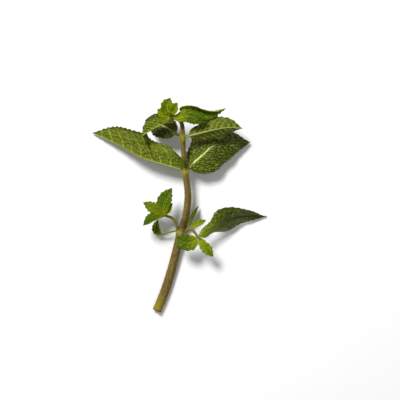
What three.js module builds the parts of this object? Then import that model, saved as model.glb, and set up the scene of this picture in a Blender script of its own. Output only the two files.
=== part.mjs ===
// A cut sprig of mint lying on a table: a square stem, its opposite leaves,
// two short side shoots and a rosette of young leaves at the tip.
// Millimetres, +Z up. The table is z = 0, and the stem runs from its cut end towards +Y.

import * as THREE from "three";

// Driving dimensions
const STEM_RADIUS = 2.25; // half the width of the main stem near its cut end
const STEM_TIP_RADIUS = 0.8;
const SHOOT_RADIUS = 0.72; // side shoots
const SHOOT_TIP_RADIUS = 0.5;
const NODE_SWELLING = 0.45; // extra radius where leaves join the stem
const NODE_LENGTH = 2.2; // how far along the stem that swelling reaches
const TAPER = 1.6; // 1 is an even taper, and more keeps the stem thick for longer
const SQUARENESS = 3.2; // 2 is a round section, and larger is squarer
const STALK_HALF_WIDTH = 0.8; // leaf stalk of a full-size leaf
const STALK_HALF_THICKNESS = 0.55;
const BLADE_HALF_THICKNESS = 0.3; // beside the midrib; the blade thins to its margin
const MIDRIB_EXTRA = 0.25; // the midrib is this much thicker than the blade
const FULL_SIZE_LEAF = 8; // half width from which a leaf has the full thickness
const THINNEST = 0.35; // share of that thickness left in a leaf of no width
const BASE_BLUNTNESS = 0.42; // how squarely a blade starts: 0 is square, and 1 is a smooth ellipse
const TIP_BLUNTNESS = 1.05;
const GATHERED = [0.16, 0.36]; // shares of a blade between which a drawn-in base reaches full width
const OPENING = 0.12; // share of a leaf, past its stalk, over which its halves open out
const HALVES_APART = 2.1; // radians between the ripples of a leaf's two halves
const CREASE_OPENING = [0.06, 0.26]; // the same, for the part behind a crease
const CREASE_SHARPNESS = 0.008; // half the share of the length over which a crease bends
const CREASE_RIDGE = 1.9; // how far the blade stands back past a crease
const CREASE_RIDGE_LENGTH = 0.13; // the share of the length over which that dies away
const CREASE_STEP = 0.9; // how far the blade stands forward behind a crease
const TABLE_CONTACT = 0.35; // height of a blade's middle surface where it lies on the table
const TABLE_SOFTNESS = 0.7; // how gradually a blade flattens against the table
const STEM_SIDES = 12;
const STEM_STEP = 3.2; // spacing of sections along a stem
const BIG_LEAF = 5; // half width above which a leaf has the finer of these two grids
const LEAF_STEPS = { big: 14, small: 9 };
const LEAF_HALF_SIDES = { big: 3, small: 2 };
const STEM_ROUGHNESS = 0.7;
const LEAF_ROUGHNESS = 0.55;

const LEAF_COLOURS = {
  mature: 0x2f5219,
  middle: 0x4b7a22,
  young: 0x7ea32f,
};
const STEM_COLOUR = 0x7c6044;
const SHOOT_COLOUR = 0x86705c;

// Stems: the points their axes pass through, end radii, and the nodes that swell them.
const STEMS = [
  {
    name: "main_stem",
    colour: STEM_COLOUR,
    radius: [STEM_RADIUS, STEM_TIP_RADIUS],
    axis: [
      [0, 0, 2.3],
      [4.6, 11.5, 2.5],
      [8.6, 24.5, 2.9],
      [13.2, 42.9, 4.6],
      [16, 52.5, 6],
      [17.1, 63.5, 8],
      [15.7, 75.9, 10.4],
      [14.9, 85.5, 12.4],
      [14.2, 94.9, 14.3],
      [14.2, 99.5, 15.7],
      [13.5, 102.6, 17.2],
      [11.3, 104.6, 18.9],
      [7.9, 106.1, 20.5],
    ],
    nodes: [
      [13.2, 42.9, 4.6],
      [15.7, 75.9, 10.4],
      [14.2, 94.9, 14.3],
    ],
  },
  {
    name: "left_shoot_stem",
    colour: SHOOT_COLOUR,
    radius: [SHOOT_RADIUS, SHOOT_TIP_RADIUS],
    axis: [
      [11.3, 45.6, 6.6],
      [10.3, 49, 8.2],
      [7.9, 51.3, 9.4],
      [5, 52.2, 10.2],
      [3.6, 52.3, 11.1],
    ],
    nodes: [],
  },
  {
    name: "right_shoot_stem",
    colour: SHOOT_COLOUR,
    radius: [SHOOT_RADIUS, SHOOT_TIP_RADIUS],
    axis: [
      [15.7, 43.4, 7],
      [17.2, 44.8, 8.6],
      [19.4, 44.5, 9.9],
      [21.3, 42.5, 10.8],
      [22.2, 40.6, 11.4],
    ],
    nodes: [],
  },
];

// Leaves. midrib: points from the stalk's joint to the tip. face: the way the upper side looks
// at the base and at the tip. fold: degrees that the left and right halves rise towards the
// upper side, at the base and at the tip. curl: further degrees gained across each half.
// Left and right are as seen from the upper side with the tip away from the viewer.
// blunt and opening: this leaf's own. gather: how far its base is drawn in, as a share.
// crease: a bend across the left half between two fractions of the length, at the midrib and at
// the margin, that turns what lies before it by some degrees.
const LEAVES = [
  {
    name: "second_left_leaf",
    age: "mature",
    halfWidth: 12.8,
    widest: 0.5,
    stalk: 0.01,
    midrib: [[12.9, 77, 10.7], [3, 80.4, 12.6], [-8, 83.8, 12], [-21, 91, 7.6], [-35.5, 97.7, 1.6]],
    face: [[0.3, 0.8, -0.5], [0.3, 0.75, -0.4]],
    fold: [[45, 78], [38, 38]],
    curl: [-12, 55],
    ripple: [1.3, 2.2, 0.4],
    blunt: 0.3,
    crease: { atRib: 0.27, atMargin: 0.475, turn: 62, narrowing: 0.08, swelling: 0.2 },
    opening: 0.02,
  },
  {
    name: "second_right_leaf",
    age: "mature",
    halfWidth: 12,
    widest: 0.4,
    stalk: 0.05,
    midrib: [[18.1, 76.9, 9.5], [19.6, 80.2, 10.1], [25.2, 85.3, 10], [30.8, 90, 9.2], [40.2, 92, 6.8], [51.2, 92.3, 2.6]],
    face: [[0, 0.28, 0.95], [0.3, 0.1, 0.95]],
    fold: [[-24, -4], [-15, -8]],
    curl: [-12, -26],
    ripple: [0.7, 2.6, 1.2],
  },
  {
    name: "third_right_leaf",
    age: "mature",
    halfWidth: 7.7,
    widest: 0.5,
    stalk: 0.06,
    midrib: [[16.4, 95.1, 14.9], [21.7, 96.2, 16.8], [32.2, 98.6, 18.4], [39, 99.7, 17.4], [46.5, 99.4, 14]],
    face: [[0, 0.2, -0.98], [0.2, 0.2, -0.95]],
    fold: [[34, 30], [30, 30]],
    curl: [10, 6],
    ripple: [0.5, 2.4, 0.3],
  },
  {
    name: "third_left_leaf",
    age: "mature",
    halfWidth: 7.2,
    widest: 0.45,
    stalk: 0.06,
    midrib: [[11.6, 96, 13.6], [4.4, 100.6, 12.2], [-1, 103.2, 9], [-6.5, 104.4, 4]],
    face: [[0.1, -0.1, 0.98], [0.3, 0, 0.9]],
    fold: [[-12, -10], [-10, -10]],
    curl: [-10, -10],
    ripple: [0.5, 2.2, 0.9],
  },
  {
    name: "fourth_left_leaf",
    age: "middle",
    halfWidth: 5.7,
    widest: 0.5,
    stalk: 0.2,
    midrib: [[8.9, 102.7, 18.2], [5.2, 102.2, 20], [-1.1, 99, 20.4], [-7.4, 95.3, 18.6]],
    face: [[-0.43, 0.74, -0.4], [-0.43, 0.74, -0.45]],
    fold: [[45, 40], [40, 35]],
    curl: [-8, 10],
    ripple: [0.3, 2, 0.5],
  },
  {
    name: "fourth_right_leaf",
    age: "middle",
    halfWidth: 5,
    widest: 0.38,
    stalk: 0.1,
    midrib: [[12.4, 105.5, 17.9], [14.6, 108.5, 18.8], [19, 109.6, 19.2], [27, 108, 17.6], [37.8, 110, 14.6]],
    face: [[0.1, -0.1, 0.97], [0, -0.5, 0.85]],
    fold: [[12, 4], [62, 40]],
    curl: [55, -10],
    ripple: [0.3, 2, 1.5],
  },
  {
    name: "fifth_right_leaf",
    age: "middle",
    halfWidth: 3.9,
    widest: 0.55,
    stalk: 0.06,
    midrib: [[9.1, 104, 21.2], [12.2, 104.7, 22.6], [16.5, 105.6, 23.4], [22, 104.4, 22.6], [27, 102.2, 20.6]],
    face: [[0, -0.1, 0.99], [0.2, -0.1, 0.95]],
    fold: [[-4, 0], [-6, -10]],
    curl: [-10, -14],
    ripple: [0.3, 2.4, 0.2],
    blunt: 0.3,
  },
  {
    name: "fifth_left_leaf",
    age: "young",
    halfWidth: 2.3,
    widest: 0.5,
    stalk: 0.12,
    midrib: [[6.8, 104, 20.4], [4.6, 103.6, 21.6], [1.8, 102.8, 22.4]],
    face: [[0.1, 0.3, 0.9], [0, 0.2, 0.9]],
    fold: [[22, 22], [16, 16]],
    curl: [0, 0],
    ripple: [0.15, 2, 0.2],
  },
  {
    name: "tip_rear_leaf",
    age: "young",
    halfWidth: 3.6,
    widest: 0.48,
    stalk: 0.08,
    midrib: [[7.2, 107.9, 21.2], [6.3, 109.7, 23], [6.2, 111.6, 24.2], [8.1, 115, 25]],
    face: [[0.1, -0.55, 0.8], [0, -0.3, 0.9]],
    fold: [[18, 18], [12, 12]],
    curl: [8, 4],
    ripple: [0.25, 2.3, 1],
    blunt: 0.36,
  },
  {
    name: "tip_right_leaf",
    age: "young",
    halfWidth: 3,
    widest: 0.5,
    stalk: 0.08,
    midrib: [[9.3, 107.2, 21.4], [10.4, 109, 23.4], [11.8, 112.4, 25.6]],
    face: [[-0.6, -0.35, 0.7], [-0.45, -0.3, 0.85]],
    fold: [[16, 30], [12, 24]],
    curl: [0, 0],
    ripple: [0.2, 2, 0.1],
    blunt: 0.36,
  },
  {
    name: "tip_left_leaf",
    age: "young",
    halfWidth: 2.6,
    widest: 0.45,
    stalk: 0.1,
    midrib: [[5.6, 106.6, 21.2], [3.7, 107.2, 21.8], [0.8, 109.3, 21.8]],
    face: [[0.3, -0.2, 0.9], [0.1, -0.2, 0.95]],
    fold: [[20, 20], [12, 12]],
    curl: [0, 0],
    ripple: [0.2, 2, 0.6],
    blunt: 0.36,
  },
  {
    name: "tip_front_leaflet",
    age: "young",
    halfWidth: 1.1,
    widest: 0.5,
    stalk: 0.1,
    midrib: [[7.6, 105.4, 21.6], [7.4, 105.5, 23], [7.1, 106, 24.2]],
    face: [[0, 0.95, 0.3], [0, 0.95, 0.3]],
    fold: [[30, 30], [20, 20]],
    curl: [0, 0],
    ripple: [0, 1, 0],
  },
  {
    name: "tip_back_leaflet",
    age: "young",
    halfWidth: 1.1,
    widest: 0.5,
    stalk: 0.1,
    midrib: [[7.9, 106.9, 21.7], [7.8, 107, 23.1], [7.7, 106.8, 24.4]],
    face: [[0, -0.95, 0.3], [0, -0.95, 0.3]],
    fold: [[30, 30], [20, 20]],
    curl: [0, 0],
    ripple: [0, 1, 0],
  },
  {
    name: "second_node_bud",
    age: "young",
    halfWidth: 0.7,
    widest: 0.5,
    stalk: 0.1,
    midrib: [[15.3, 78.6, 13.6], [14.7, 80.6, 14.8], [14.4, 82.8, 15.2]],
    face: [[0, -0.5, 0.85], [0, -0.2, 0.95]],
    fold: [[35, 35], [25, 25]],
    curl: [0, 0],
    ripple: [0, 1, 0],
  },
  {
    name: "third_node_bud",
    age: "young",
    halfWidth: 1,
    widest: 0.5,
    stalk: 0.1,
    midrib: [[14.7, 95.2, 17.2], [14.5, 93.4, 17.4], [14.4, 91.4, 16.6]],
    face: [[0, 0.1, 0.95], [0, 0.1, 0.95]],
    fold: [[-20, -20], [-15, -15]],
    curl: [0, 0],
    ripple: [0, 1, 0],
  },
  {
    name: "first_left_leaf",
    age: "middle",
    halfWidth: 2.7,
    widest: 0.45,
    stalk: 0.46,
    midrib: [[10.3, 43.9, 5], [6.4, 43, 5.6], [2.6, 42, 4.8], [0.2, 44.4, 3.6], [0.6, 50.2, 2.2]],
    face: [[0.1, 0, 0.98], [-0.5, 0, 0.85]],
    fold: [[30, 30], [30, 30]],
    curl: [0, 10],
    ripple: [0.2, 2, 0.3],
  },
  {
    name: "first_right_leaf",
    age: "middle",
    halfWidth: 2,
    widest: 0.5,
    stalk: 0.12,
    midrib: [[16.9, 46.3, 5.2], [19, 49.6, 5.6], [21.2, 53.2, 4.8], [22.8, 57.6, 2.6]],
    face: [[-0.6, 0.4, 0.6], [-0.6, 0.4, 0.6]],
    fold: [[40, 40], [35, 35]],
    curl: [0, 0],
    ripple: [0.2, 2, 0.2],
  },
  {
    name: "left_shoot_upper_leaf",
    age: "middle",
    halfWidth: 4,
    widest: 0.45,
    stalk: 0.05,
    midrib: [[4.1, 53.7, 11.7], [3.8, 57, 13.3], [5.2, 62, 14.4], [8.6, 67.4, 14]],
    face: [[-0.1, -0.4, 0.9], [0, -0.1, 0.98]],
    fold: [[8, 14], [6, 10]],
    curl: [-8, 0],
    ripple: [0.25, 2.2, 0.7],
  },
  {
    name: "left_shoot_far_leaf",
    age: "young",
    halfWidth: 3,
    widest: 0.48,
    stalk: 0.05,
    midrib: [[2.5, 53, 11.5], [0.3, 54.8, 12.1], [-3.2, 57.4, 12.1], [-7.2, 59.5, 11.2]],
    face: [[0.2, -0.2, 0.95], [0, -0.1, 0.98]],
    fold: [[12, 12], [4, 4]],
    curl: [-6, -6],
    ripple: [0.25, 2.3, 0.1],
  },
  {
    name: "left_shoot_lower_leaf",
    age: "middle",
    halfWidth: 4.3,
    widest: 0.5,
    stalk: 0.02,
    midrib: [[3, 51.5, 11.3], [-1.7, 49.6, 11.8], [-7.2, 47, 10.6]],
    face: [[-0.29, 0.63, 0.7], [-0.29, 0.5, 0.8]],
    fold: [[45, 42], [40, 36]],
    curl: [0, 0],
    ripple: [0.25, 2, 0.5],
  },
  {
    name: "left_shoot_near_leaf",
    age: "young",
    halfWidth: 1.8,
    widest: 0.5,
    stalk: 0.02,
    midrib: [[5.1, 53.2, 11.9], [7.1, 54.9, 12.4], [8.8, 59.4, 12]],
    face: [[-0.6, 0, 0.8], [-0.7, 0.1, 0.7]],
    fold: [[30, 30], [24, 24]],
    curl: [0, 0],
    ripple: [0.15, 2, 0.5],
  },
  {
    name: "left_shoot_bud",
    age: "young",
    halfWidth: 0.8,
    widest: 0.5,
    stalk: 0.1,
    midrib: [[3.3, 52.2, 12.4], [3.1, 52.4, 13.6], [3.2, 53, 14.8]],
    face: [[0, 0.9, 0.3], [0, 0.9, 0.3]],
    fold: [[30, 30], [20, 20]],
    curl: [0, 0],
    ripple: [0, 1, 0],
  },
  {
    name: "right_shoot_left_leaf",
    age: "middle",
    halfWidth: 4.5,
    widest: 0.42,
    stalk: 0.02,
    midrib: [[21.2, 39.2, 11.9], [18.4, 38, 13.2], [14.6, 38.4, 13.8], [10.8, 41.2, 13]],
    face: [[0.2, 0, 0.98], [-0.1, -0.1, 0.98]],
    fold: [[10, 10], [2, 2]],
    curl: [-10, -10],
    ripple: [0.3, 2.3, 0.4],
  },
  {
    name: "right_shoot_long_leaf",
    age: "mature",
    halfWidth: 7.7,
    widest: 0.33,
    stalk: 0.02,
    midrib: [[23.7, 41.5, 11.5], [30.8, 45.3, 11.2], [40.2, 50.6, 8.2], [51, 52.3, 4], [60.4, 51.7, 0.8]],
    face: [[0.1, 0.25, 0.95], [0.2, 0.25, 0.95]],
    fold: [[0, -62], [92, -30]],
    curl: [-6, -14],
    ripple: [0.6, 2.4, 0.8],
    blunt: 0.7,
    gather: 0.45,
  },
  {
    name: "right_shoot_lower_leaf",
    age: "young",
    halfWidth: 2.8,
    widest: 0.5,
    stalk: 0.02,
    midrib: [[23.4, 39.5, 11.9], [25.6, 36.6, 12.9], [28, 33.6, 12.8], [30.8, 30, 11.4]],
    face: [[-0.3, 0.2, 0.95], [-0.1, 0.1, 0.97]],
    fold: [[22, 22], [14, 14]],
    curl: [0, -6],
    ripple: [0.2, 2.3, 0.4],
  },
  {
    name: "right_shoot_small_leaf",
    age: "young",
    halfWidth: 1.9,
    widest: 0.5,
    stalk: 0.02,
    midrib: [[18.7, 46.1, 8.6], [22, 47.8, 8.8], [27, 49.8, 7.8]],
    face: [[-0.1, 0.3, 0.9], [0.1, 0.3, 0.9]],
    fold: [[14, 14], [10, 10]],
    curl: [0, 0],
    ripple: [0.2, 2.6, 0.4],
  },
  {
    name: "right_shoot_bud",
    age: "young",
    halfWidth: 0.8,
    widest: 0.5,
    stalk: 0.1,
    midrib: [[22.8, 40.3, 12.6], [22.9, 40.5, 13.8], [22.7, 40.9, 15]],
    face: [[0, 0.9, 0.3], [0, 0.9, 0.3]],
    fold: [[30, 30], [20, 20]],
    curl: [0, 0],
    ripple: [0, 1, 0],
  },
];

function smoothCurve(points) {
  const vectors = points.map((p) => new THREE.Vector3(...p));
  return new THREE.CatmullRomCurve3(vectors, false, "centripetal");
}

// The direction closest to `wanted` that is square to the tangent.
function squareTo(tangent, wanted) {
  return wanted.clone().addScaledVector(tangent, -wanted.dot(tangent)).normalize();
}

// A closed surface through rings of points. Each ring runs left, upper side, right, under side,
// as seen along the piece, and a single point closes each end.
function loft(rings, startPoint, endPoint) {
  const around = rings[0].length;
  const points = [startPoint, ...rings.flat(), endPoint];
  const last = points.length - 1;
  const at = (ring, side) => 1 + ring * around + (side % around);
  const index = [];
  for (let side = 0; side < around; side += 1) {
    index.push(0, at(0, side + 1), at(0, side));
    index.push(last, at(rings.length - 1, side), at(rings.length - 1, side + 1));
    for (let ring = 0; ring + 1 < rings.length; ring += 1) {
      index.push(at(ring, side), at(ring, side + 1), at(ring + 1, side + 1));
      index.push(at(ring, side), at(ring + 1, side + 1), at(ring + 1, side));
    }
  }
  const geometry = new THREE.BufferGeometry().setFromPoints(points);
  geometry.setIndex(index);
  geometry.computeVertexNormals();
  return geometry;
}

// Radius of the stem at one point of its axis: a taper, plus the swelling at each node.
function stemRadius(stem, fraction, point) {
  const taper = THREE.MathUtils.lerp(stem.radius[0], stem.radius[1], fraction ** TAPER);
  const swelling = (node) => Math.exp(-((point.distanceTo(new THREE.Vector3(...node)) / NODE_LENGTH) ** 2));
  return stem.nodes.reduce((radius, node) => radius + NODE_SWELLING * swelling(node), taper);
}

function stemGeometry(stem) {
  const axis = smoothCurve(stem.axis);
  const steps = Math.ceil(axis.getLength() / STEM_STEP) + 2;
  const rings = [];
  for (let i = 0; i <= steps; i += 1) {
    const fraction = i / steps;
    const centre = axis.getPointAt(fraction);
    const tangent = axis.getTangentAt(fraction);
    const up = squareTo(tangent, new THREE.Vector3(0, 0, 1));
    const left = up.clone().cross(tangent);
    const radius = stemRadius(stem, fraction, centre);
    const ring = [];
    for (let side = 0; side < STEM_SIDES; side += 1) {
      const angle = (2 * Math.PI * side) / STEM_SIDES;
      const x = Math.cos(angle);
      const y = Math.sin(angle);
      const square = (Math.abs(x) ** SQUARENESS + Math.abs(y) ** SQUARENESS) ** (-1 / SQUARENESS);
      ring.push(
        centre
          .clone()
          .addScaledVector(left, x * square * radius)
          .addScaledVector(up, y * square * radius),
      );
    }
    rings.push(ring);
  }
  return loft(rings, axis.getPointAt(0), axis.getPointAt(1));
}

// A small leaf has a thinner stalk and blade, down to about a third.
function thinning(leaf) {
  return Math.min(1, THINNEST + ((1 - THINNEST) * leaf.halfWidth) / FULL_SIZE_LEAF);
}

// Half width of a leaf at a fraction of its length: its stalk, then an ovate blade whose base
// is blunt and whose tip is pointed.
function leafHalfWidth(leaf, fraction) {
  const stalk = STALK_HALF_WIDTH * thinning(leaf);
  const along = (fraction - leaf.stalk) / (1 - leaf.stalk);
  if (along <= 0) {
    return stalk;
  }
  const phase = along ** (Math.log(0.5) / Math.log(leaf.widest));
  const bluntness = THREE.MathUtils.lerp(leaf.blunt ?? BASE_BLUNTNESS, TIP_BLUNTNESS, along);
  const gathered = 1 - (leaf.gather ?? 0) * (1 - THREE.MathUtils.smoothstep(along, ...GATHERED));
  const blade = leaf.halfWidth * gathered * Math.sin(Math.PI * Math.min(phase, 1)) ** bluntness;
  return Math.max(blade, stalk * (1 - along));
}

function restOnTable(point) {
  const above = (point.z - TABLE_CONTACT) / TABLE_SOFTNESS;
  point.z = TABLE_CONTACT + TABLE_SOFTNESS * (above > 20 ? above : Math.log1p(Math.exp(above)));
  return point;
}

// How far a point of the left half lies behind its leaf's crease, and in the swelling before it.
function creaseShares(leaf, fraction, across) {
  if (!leaf.crease || across <= 0) {
    return [0, 0];
  }
  const line = THREE.MathUtils.lerp(leaf.crease.atRib, leaf.crease.atMargin, across);
  const past = THREE.MathUtils.smoothstep(fraction, line - CREASE_SHARPNESS, line + CREASE_SHARPNESS);
  const behind = (1 - past) * THREE.MathUtils.smoothstep(fraction, ...CREASE_OPENING);
  return [behind, past * Math.exp(-Math.max(fraction - line, 0) / CREASE_RIDGE_LENGTH)];
}

// One point of a blade's middle surface. across runs from -1, the right margin, to 1, the left.
function bladePoint(leaf, midrib, fraction, across) {
  const tangent = midrib.getTangentAt(fraction);
  const wanted = new THREE.Vector3(...leaf.face[0]).lerp(new THREE.Vector3(...leaf.face[1]), fraction);
  const face = squareTo(tangent, wanted);
  const side = across < 0 ? 1 : 0;
  const outward = face.clone().cross(tangent).multiplyScalar(side ? -1 : 1);
  const [behind, raised] = creaseShares(leaf, fraction, across);
  const crease = leaf.crease ?? { turn: 0, narrowing: 0, swelling: 0 };
  const width = leafHalfWidth(leaf, fraction) * (1 - crease.narrowing * behind + crease.swelling * raised);
  const opened = THREE.MathUtils.smoothstep(fraction, 0, leaf.stalk + (leaf.opening ?? OPENING));
  const fold = THREE.MathUtils.lerp(leaf.fold[0][side], leaf.fold[1][side], fraction);
  const start = THREE.MathUtils.degToRad(fold * opened);
  const turn = THREE.MathUtils.degToRad(leaf.curl[side] * opened + crease.turn * behind) || 1e-4;
  const share = Math.abs(across);
  const end = start + turn * share;
  const reach = ((Math.sin(end) - Math.sin(start)) * width) / turn;
  const rise = ((Math.cos(start) - Math.cos(end)) * width) / turn;
  const [size, waves, phase] = leaf.ripple;
  const wave = Math.sin(2 * Math.PI * waves * fraction + phase * 2 * Math.PI + side * HALVES_APART);
  const ripple = size * share ** 2 * wave * opened * (1 - fraction ** 4);
  const point = midrib
    .getPointAt(fraction)
    .addScaledVector(outward, reach - ripple * Math.sin(end))
    .addScaledVector(face, rise + ripple * Math.cos(end) - (CREASE_RIDGE * raised - CREASE_STEP * behind) * share);
  return restOnTable(point);
}

function leafGeometry(leaf) {
  const midrib = smoothCurve(leaf.midrib);
  const grid = leaf.halfWidth > BIG_LEAF ? "big" : "small";
  const steps = LEAF_STEPS[grid];
  const halfSides = LEAF_HALF_SIDES[grid];
  const size = thinning(leaf);
  const rings = [];
  for (let i = 0; i < steps; i += 1) {
    const fraction = i / steps;
    const stalkShare = 1 - THREE.MathUtils.smoothstep(fraction, leaf.stalk, leaf.stalk + OPENING);
    const upper = [];
    const under = [];
    for (let j = -halfSides; j <= halfSides; j += 1) {
      const across = -j / halfSides;
      const middle = bladePoint(leaf, midrib, fraction, across);
      if (Math.abs(j) === halfSides) {
        upper.push(middle);
        continue;
      }
      const step = 0.02;
      const alongEdge = bladePoint(leaf, midrib, fraction + step, across).sub(middle);
      const acrossEdge = bladePoint(leaf, midrib, fraction, across - step).sub(middle);
      const normal = acrossEdge.cross(alongEdge).normalize();
      const blade = BLADE_HALF_THICKNESS + (j === 0 ? MIDRIB_EXTRA * (1 - fraction) : 0);
      const half = size * THREE.MathUtils.lerp(blade, STALK_HALF_THICKNESS, stalkShare);
      upper.push(middle.clone().addScaledVector(normal, half));
      under.unshift(middle.clone().addScaledVector(normal, -half));
    }
    rings.push([...upper, ...under]);
  }
  return loft(rings, midrib.getPointAt(0), bladePoint(leaf, midrib, 1, 0));
}

// Each mesh stands at its own joint with the stem: its geometry is measured from there.
function pieceMesh(piece, geometry, joint, colour, roughness) {
  const material = new THREE.MeshStandardMaterial({ color: colour, roughness, metalness: 0 });
  geometry.translate(-joint[0], -joint[1], -joint[2]);
  const mesh = new THREE.Mesh(geometry, material);
  mesh.name = piece.name;
  mesh.position.set(...joint);
  return mesh;
}

const sprig = new THREE.Group();
for (const stem of STEMS) {
  sprig.add(pieceMesh(stem, stemGeometry(stem), stem.axis[0], stem.colour, STEM_ROUGHNESS));
}
for (const leaf of LEAVES) {
  sprig.add(pieceMesh(leaf, leafGeometry(leaf), leaf.midrib[0], LEAF_COLOURS[leaf.age], LEAF_ROUGHNESS));
}

// The part's origin is the middle of the space it takes on the table.
const box = new THREE.Box3().setFromObject(sprig, true);
const middle = box.getCenter(new THREE.Vector3());
sprig.position.set(-middle.x, -middle.y, -box.min.z);

const part = new THREE.Group();
part.add(sprig);

export default part;
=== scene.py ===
import math

import bpy
import numpy as np
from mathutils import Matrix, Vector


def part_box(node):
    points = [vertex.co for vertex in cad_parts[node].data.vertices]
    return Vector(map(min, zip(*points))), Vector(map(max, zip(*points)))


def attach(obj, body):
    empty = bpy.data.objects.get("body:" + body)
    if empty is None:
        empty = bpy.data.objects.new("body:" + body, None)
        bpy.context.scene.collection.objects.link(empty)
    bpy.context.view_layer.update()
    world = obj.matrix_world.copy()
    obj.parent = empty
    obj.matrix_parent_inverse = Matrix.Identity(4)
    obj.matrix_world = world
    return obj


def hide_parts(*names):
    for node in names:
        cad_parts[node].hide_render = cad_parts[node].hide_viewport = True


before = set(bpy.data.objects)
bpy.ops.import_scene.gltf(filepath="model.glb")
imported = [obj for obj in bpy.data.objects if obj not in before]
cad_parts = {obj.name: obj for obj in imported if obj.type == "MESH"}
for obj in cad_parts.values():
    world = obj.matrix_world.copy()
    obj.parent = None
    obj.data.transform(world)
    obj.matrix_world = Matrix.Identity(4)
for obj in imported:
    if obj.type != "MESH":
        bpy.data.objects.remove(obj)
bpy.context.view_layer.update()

# A cut sprig of mint lying on a pale table, seen from straight above.
# The shapes below are worked out in millimetres, in the design frame that the CAD model uses,
# and turned into metres in the row's frame when a mesh is made.

MM = 0.001

# Stems: the points that each axis passes through, end radii and swollen nodes, in millimetres.
STEMS = {
    "main_stem": {
        "radius": (2.25, 0.8),
        "axis": [(0, 0, 2.3), (4.6, 11.5, 2.5), (8.6, 24.5, 2.9), (13.2, 42.9, 4.6), (16, 52.5, 6),
                 (17.1, 63.5, 8), (15.7, 75.9, 10.4), (14.9, 85.5, 12.4), (14.2, 94.9, 14.3),
                 (14.2, 99.5, 15.7), (13.5, 102.6, 17.2), (11.3, 104.6, 18.9), (7.9, 106.1, 20.5)],
        "nodes": [(13.2, 42.9, 4.6), (15.7, 75.9, 10.4), (14.2, 94.9, 14.3)],
    },
    "left_shoot_stem": {
        "radius": (0.72, 0.5),
        "axis": [(11.3, 45.6, 6.6), (10.3, 49, 8.2), (7.9, 51.3, 9.4), (5, 52.2, 10.2), (3.6, 52.3, 11.1)],
        "nodes": [],
    },
    "right_shoot_stem": {
        "radius": (0.72, 0.5),
        "axis": [(15.7, 43.4, 7), (17.2, 44.8, 8.6), (19.4, 44.5, 9.9), (21.3, 42.5, 10.8), (22.2, 40.6, 11.4)],
        "nodes": [],
    },
}

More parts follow.
